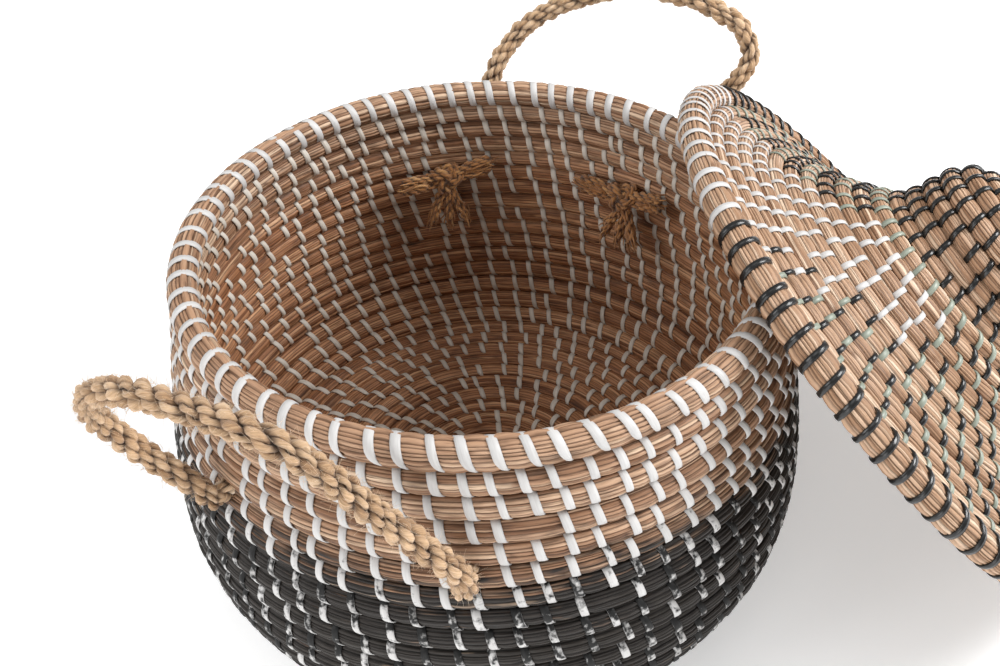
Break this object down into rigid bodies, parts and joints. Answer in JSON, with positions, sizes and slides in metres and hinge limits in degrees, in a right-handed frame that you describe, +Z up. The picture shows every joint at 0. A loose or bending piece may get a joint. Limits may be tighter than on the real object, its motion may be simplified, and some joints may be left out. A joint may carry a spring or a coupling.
{
  "type": "lidded seagrass storage basket",
  "caption": "Round-bellied coiled seagrass storage basket with stitched coils, a dyed lower wall, a knobbed lid leaning beside it and rope loop handles.",
  "frame": {"origin": "centre of the basket's flat underside, on the floor", "axes": "+Z up along the basket's axis; +X towards the leaning lid; +Y to the back, where the taller rope loop is"},
  "size_m": [0.5864, 0.4305, 0.277],
  "materials": {
    "seagrass": "natural tan seagrass, matte",
    "dyed_seagrass": "black dyed seagrass, matte",
    "jute_rope": "twisted jute, matte and hairy"
  },
  "bodies": {
    "basket": {"rim_coil": "seagrass", "wall_coil_01": "seagrass", "wall_coil_02": "seagrass", "wall_coil_03": "seagrass", "wall_coil_04": "seagrass", "wall_coil_05": "seagrass", "wall_coil_06": "seagrass", "wall_coil_07": "seagrass", "wall_coil_08": "dyed_seagrass", "wall_coil_09": "dyed_seagrass", "wall_coil_10": "dyed_seagrass", "wall_coil_11": "dyed_seagrass", "wall_coil_12": "dyed_seagrass", "wall_coil_13": "dyed_seagrass", "wall_coil_14": "dyed_seagrass", "wall_coil_15": "dyed_seagrass", "base_coil_01": "seagrass", "base_coil_02": "seagrass", "base_coil_03": "seagrass", "base_coil_04": "seagrass", "base_coil_05": "seagrass", "base_coil_06": "seagrass", "base_coil_07": "seagrass", "base_coil_08": "seagrass", "base_coil_09": "seagrass", "base_coil_10": "seagrass", "base_coil_11": "seagrass", "base_coil_12": "seagrass", "base_centre": "seagrass", "front_handle_knot_a": "jute_rope", "front_handle_knot_b": "jute_rope", "back_handle_knot_a": "jute_rope", "back_handle_knot_b": "jute_rope"},
    "lid": {"lid_rim_coil": "seagrass", "lid_coil_01": "seagrass", "lid_coil_02": "seagrass", "lid_coil_03": "seagrass", "lid_coil_04": "seagrass", "lid_coil_05": "seagrass", "lid_coil_06": "seagrass", "lid_coil_07": "seagrass", "lid_coil_08": "seagrass", "lid_coil_09": "seagrass", "lid_coil_10": "seagrass", "lid_coil_11": "seagrass", "lid_coil_12": "seagrass", "lid_knob_coil_01": "seagrass", "lid_knob_coil_02": "seagrass", "lid_knob_coil_03": "seagrass", "lid_knob_coil_04": "seagrass", "lid_knob_coil_05": "seagrass", "lid_knob_coil_06": "seagrass", "lid_knob_button": "seagrass"},
    "front_handle": {"front_handle_rope": "jute_rope"},
    "back_handle": {"back_handle_rope": "jute_rope"}
  },
  "joints": [
    {"name": "lid_tip", "type": "hinge", "parent": "basket", "child": "lid", "pos_m": [0.38058, 0, 0.0099], "axis": [0, 1, 0], "range_deg": [0, 40]},
    {"name": "front_handle_swing", "type": "hinge", "parent": "basket", "child": "front_handle", "pos_m": [-0.07663, -0.16139, 0.15095], "axis": [0.9033, -0.4289, 0], "range_deg": [-20, 140]},
    {"name": "back_handle_swing", "type": "hinge", "parent": "basket", "child": "back_handle", "pos_m": [0.0457, 0.17056, 0.15095], "axis": [-0.9659, 0.2588, 0], "range_deg": [0, 124]}
  ]
}
